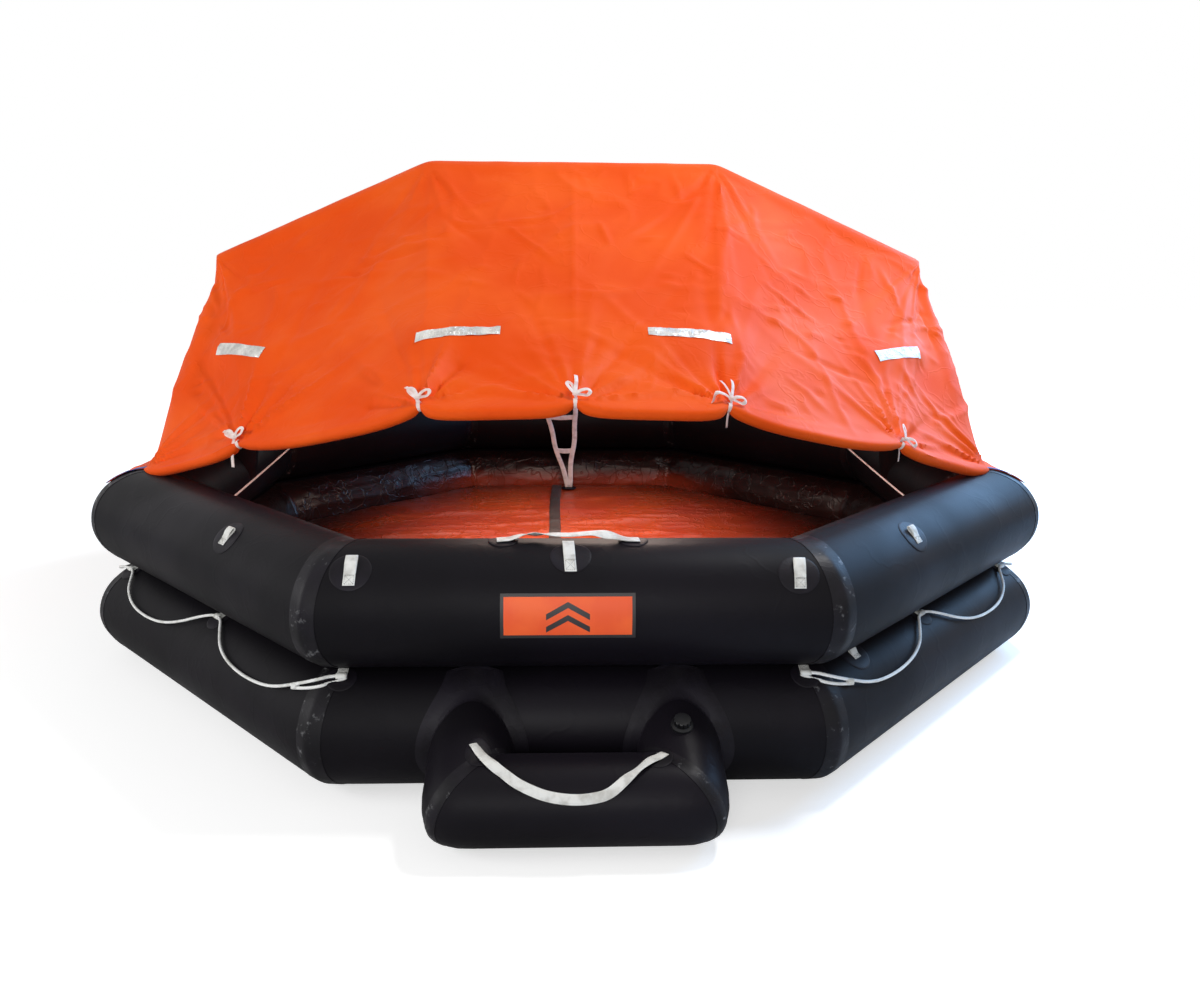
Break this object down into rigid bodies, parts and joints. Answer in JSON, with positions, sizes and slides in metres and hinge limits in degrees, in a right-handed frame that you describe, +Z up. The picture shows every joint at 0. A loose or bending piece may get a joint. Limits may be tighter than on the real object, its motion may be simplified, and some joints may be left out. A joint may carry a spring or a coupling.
{
  "type": "inflatable liferaft",
  "caption": "Inflated liferaft with stacked eight-sided tubes, arch-held orange canopy with rolled door curtains, front boarding ramp, rear ladder and grab lines.",
  "frame": {"origin": "centre of the eight-sided floor on the ground", "axes": "+Z up, +Y from the boarding ramp to the rear entrance, +X to the raft's right side"},
  "size_m": [3.8587, 4.045, 2.008],
  "materials": {
    "tube_rubber": "matt, fine fabric grain",
    "floor_fabric": "glossy coated cloth",
    "floor_rubber": "glossy",
    "grey_tape": "matt",
    "canopy_cloth": "coated cloth, satin",
    "blue_tape": "satin",
    "silver_tape": "reflective",
    "orange_rubber": "matt",
    "patch_rubber": "matt",
    "white_webbing": "woven",
    "white_rope": "braided",
    "cylinder_paint": "satin",
    "brass": "satin",
    "bright_metal": "bright",
    "black_plastic": "matt",
    "white_plastic": "matt"
  },
  "bodies": {
    "raft": {"lower_buoyancy_tube": "tube_rubber", "upper_buoyancy_tube": "tube_rubber", "floor_fabric": "floor_rubber", "inflatable_floor": "floor_fabric", "floor_skirt": "floor_rubber", "floor_tape": "grey_tape", "arch_tube": "tube_rubber", "boarding_ramp": "tube_rubber", "ramp_collars": "patch_rubber", "canopy_sleeve": "canopy_cloth", "canopy_front_top_left": "canopy_cloth", "canopy_front_top_right": "canopy_cloth", "canopy_front_slope_left": "canopy_cloth", "canopy_front_slope_right": "canopy_cloth", "canopy_front_end_left": "canopy_cloth", "canopy_front_end_right": "canopy_cloth", "front_door_roll": "canopy_cloth", "canopy_rear_top_left": "canopy_cloth", "canopy_rear_top_right": "canopy_cloth", "canopy_rear_slope_left": "canopy_cloth", "canopy_rear_slope_right": "canopy_cloth", "canopy_rear_end_left": "canopy_cloth", "canopy_rear_end_right": "canopy_cloth", "rear_door_roll": "canopy_cloth", "front_door_ties": "white_webbing", "rear_door_ties": "white_webbing", "canopy_side_flaps": "canopy_cloth", "canopy_edge_tapes": "blue_tape", "reflective_strips": "silver_tape", "boarding_plate": "orange_rubber", "lacing_tabs": "white_webbing", "beckets": "white_webbing", "rubber_patches": "patch_rubber", "water_pockets": "canopy_cloth", "entrance_handle": "white_webbing", "entrance_handle_patches": "patch_rubber", "ramp_handle": "white_webbing", "ramp_handle_patches": "patch_rubber", "boarding_ladder": "white_webbing", "ladder_patch": "patch_rubber", "grab_line_right": "white_rope", "grab_line_left": "white_rope", "lifeline_right": "white_rope", "lifeline_left": "white_rope", "lifeline_patches": "patch_rubber", "gas_cylinder": "cylinder_paint", "operating_head": "brass", "cylinder_bands": "white_webbing", "inflation_inlets": "bright_metal", "lower_tube_valve": "black_plastic", "upper_tube_valve": "black_plastic", "floor_valve": "black_plastic", "ramp_valve": "black_plastic"},
    "lower_tube_cap": {"lower_tube_valve_cap": "black_plastic"},
    "upper_tube_cap": {"upper_tube_valve_cap": "black_plastic"},
    "floor_cap": {"floor_valve_cap": "black_plastic"},
    "ramp_cap": {"ramp_valve_cap": "black_plastic"}
  },
  "joints": [
    {"name": "lower_tube_cap_turn", "type": "hinge", "parent": "raft", "child": "lower_tube_cap", "pos_m": [1.05935, 1.59675, 0.21644], "axis": [0.7002, 0.7002, 0.1392], "range_deg": [0, 90]},
    {"name": "upper_tube_cap_turn", "type": "hinge", "parent": "raft", "child": "upper_tube_cap", "pos_m": [-1.04807, 1.58547, 0.6463], "axis": [-0.6409, 0.6409, 0.4226], "range_deg": [0, 90]},
    {"name": "floor_cap_turn", "type": "hinge", "parent": "raft", "child": "floor_cap", "pos_m": [-1.05, -0.62, 0.188], "axis": [0, 0, 1], "range_deg": [0, 90]},
    {"name": "ramp_cap_turn", "type": "hinge", "parent": "raft", "child": "ramp_cap", "pos_m": [0.3, -1.93789, 0.28619], "axis": [0, -0.3256, 0.9455], "range_deg": [0, 90]}
  ]
}
